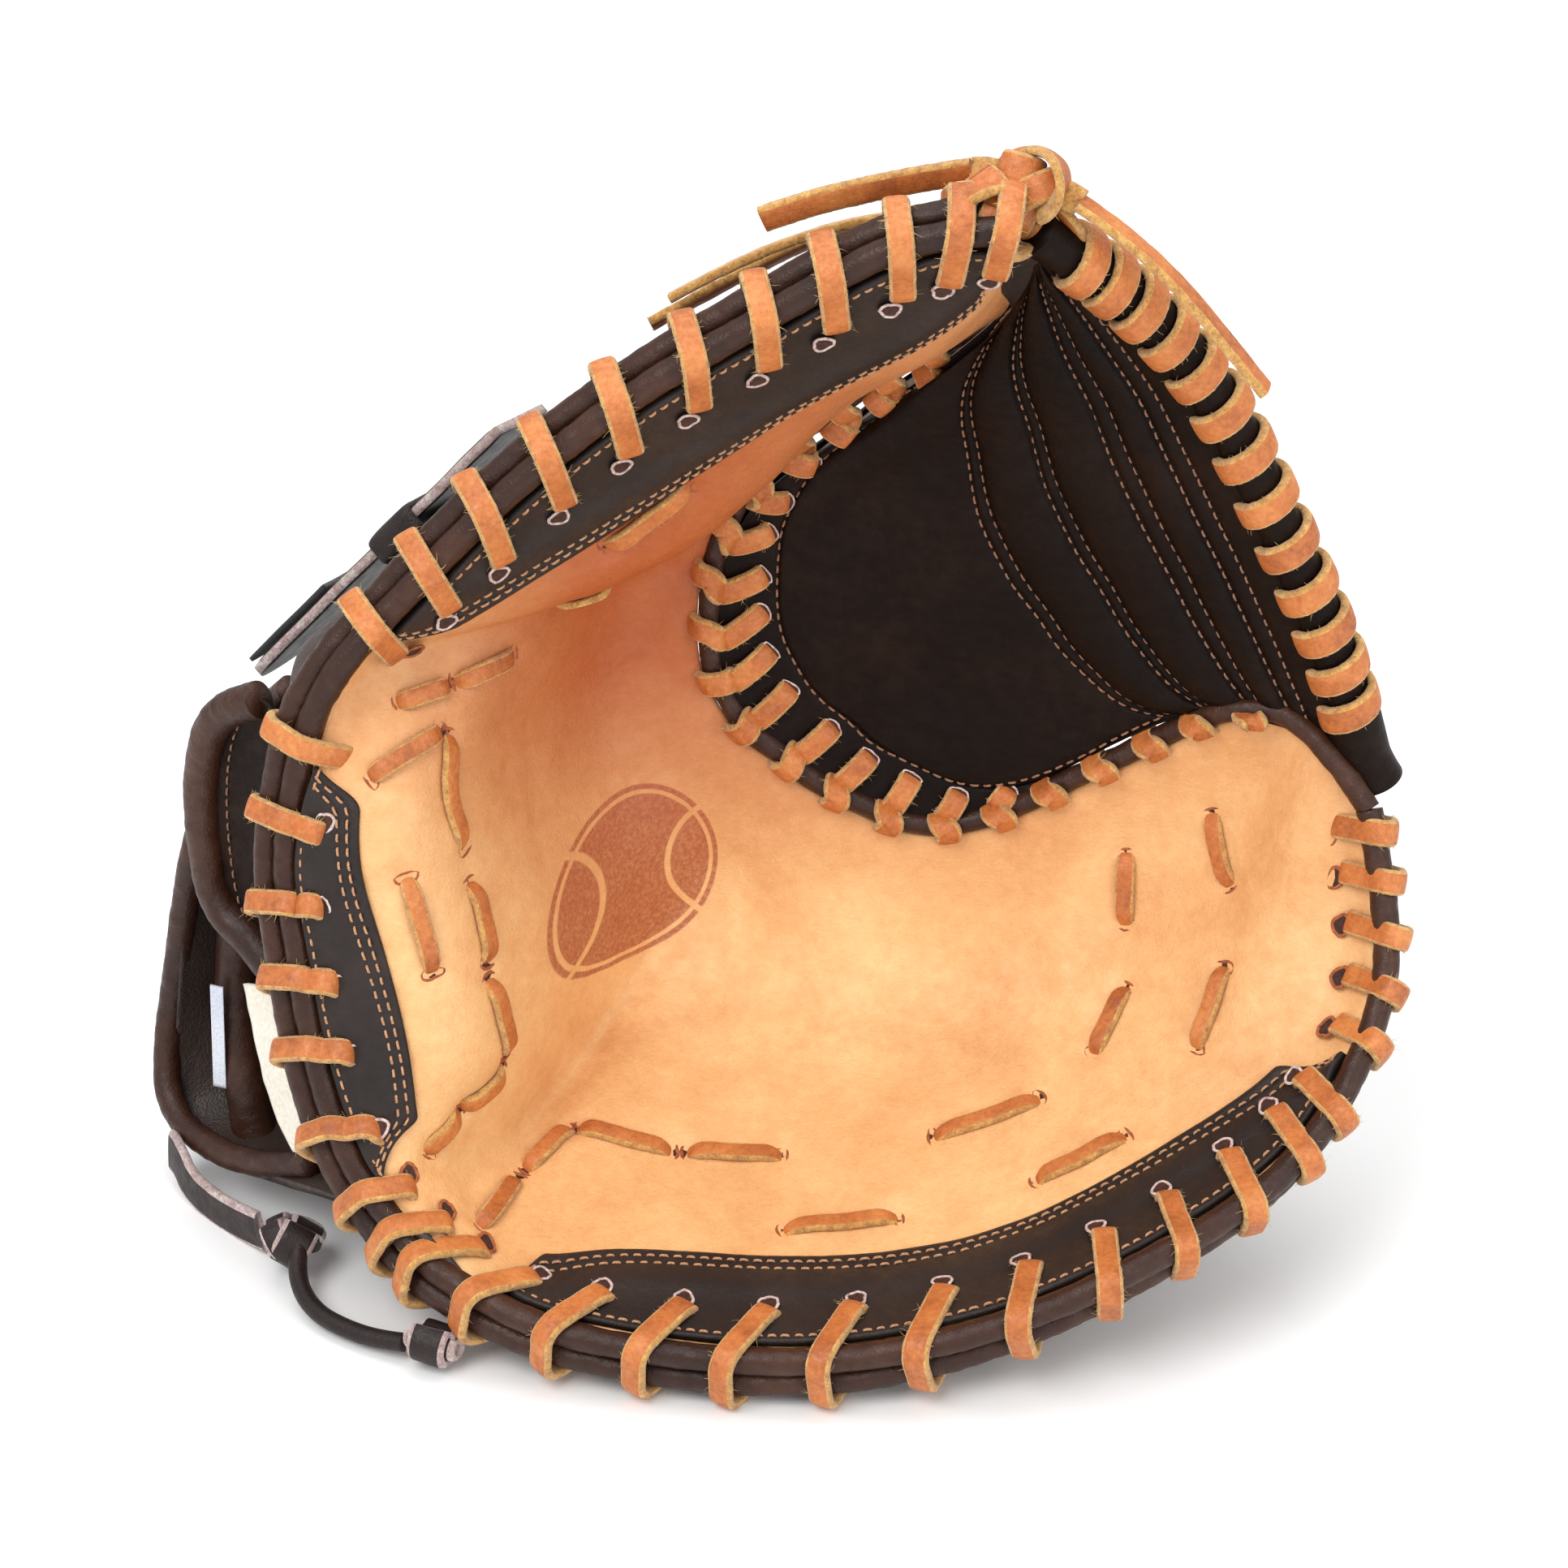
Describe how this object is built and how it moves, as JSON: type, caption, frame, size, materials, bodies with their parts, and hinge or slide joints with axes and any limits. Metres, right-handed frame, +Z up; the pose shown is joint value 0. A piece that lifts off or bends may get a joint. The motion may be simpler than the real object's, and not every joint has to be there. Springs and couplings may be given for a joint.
{
  "type": "baseball catcher's mitt",
  "caption": "Padded leather catcher's mitt: a laced horseshoe palm with a closed one-piece web, reinforcement patches, rolled bindings, a wrist strap and a thumb side that closes.",
  "frame": {"origin": "centre of the mitt's box on the floor, with the mitt lying on the back of its finger side", "axes": "+X from the heel to the finger tips, +Y from the open pocket to the back of the hand, +Z up towards the thumb"},
  "size_m": [0.3271, 0.1616, 0.2976],
  "materials": {
    "palm_leather": "smooth oiled, natural tan",
    "patch_leather": "smooth, charcoal brown",
    "binding_leather": "soft rolled, plum brown",
    "dark_lace": "waxed, dark brown with pale cut edges",
    "tan_lace": "waxed rawhide, orange tan with pale fuzzy edges",
    "web_leather": "smooth, very dark brown",
    "back_leather": "grained, dark brown",
    "strap_leather": "smooth, dark brown with pale raw edges",
    "padding": "wool felt padding",
    "lining": "soft hide-coloured lining",
    "tape": "hook tape",
    "label": "woven label"
  },
  "bodies": {
    "finger_side": {"back_binding_finger_side": "binding_leather", "cuff_binding": "binding_leather", "cuff_knot": "dark_lace", "cuff_lace": "dark_lace", "end_knot": "dark_lace", "finger_back_shell": "back_leather", "finger_lining": "lining", "finger_pad": "padding", "finger_patch": "patch_leather", "finger_side_lace": "tan_lace", "finger_stitch_lace": "tan_lace", "finger_tip_pad": "padding", "hand_lining": "lining", "heel_lace": "tan_lace", "heel_pad": "padding", "heel_patch": "patch_leather", "heel_stitch_lace": "tan_lace", "little_finger_loop": "binding_leather", "palm_binding_finger_side": "binding_leather", "palm_shell_finger_side": "palm_leather", "size_label": "label", "tip_binding": "binding_leather", "web_back_panel_finger_side": "web_leather", "web_base_lace_finger_side": "tan_lace", "web_binding_finger_side": "binding_leather", "web_front_panel_finger_side": "web_leather", "web_padding_finger_side": "padding", "web_top_lace_finger_side": "tan_lace", "web_top_roll_finger_side": "web_leather", "wrist_cord": "dark_lace", "wrist_flap": "binding_leather", "wrist_flap_binding": "binding_leather"},
    "thumb_side": {"back_binding_thumb_side": "binding_leather", "lace_tail_back": "tan_lace", "lace_tail_lower": "tan_lace", "lace_tail_right": "tan_lace", "lace_tail_upper": "tan_lace", "palm_binding_thumb_side": "binding_leather", "palm_shell_thumb_side": "palm_leather", "strap_keeper": "strap_leather", "thumb_back_shell": "back_leather", "thumb_crease_lace": "tan_lace", "thumb_lining": "lining", "thumb_pad": "padding", "thumb_patch": "patch_leather", "thumb_side_lace": "tan_lace", "tip_knot": "tan_lace", "web_back_panel_thumb_side": "web_leather", "web_base_lace_thumb_side": "tan_lace", "web_binding_thumb_side": "binding_leather", "web_front_panel_thumb_side": "web_leather", "web_padding_thumb_side": "padding", "web_top_lace_thumb_side": "tan_lace", "web_top_roll_thumb_side": "web_leather"},
    "strap": {"wrist_strap": "strap_leather", "hook_tape": "tape"}
  },
  "joints": [
    {"name": "thumb_close", "type": "hinge", "parent": "finger_side", "child": "thumb_side", "pos_m": [-0.1195, -0.0134, 0.156], "axis": [0.9897, 0.0578, 0.1309], "range_deg": [0, 30]},
    {"name": "strap_slide", "type": "slide", "parent": "thumb_side", "child": "strap", "axis": [-0.6807, 0.0767, -0.7286], "range_m": [-0.012, 0.012]}
  ]
}
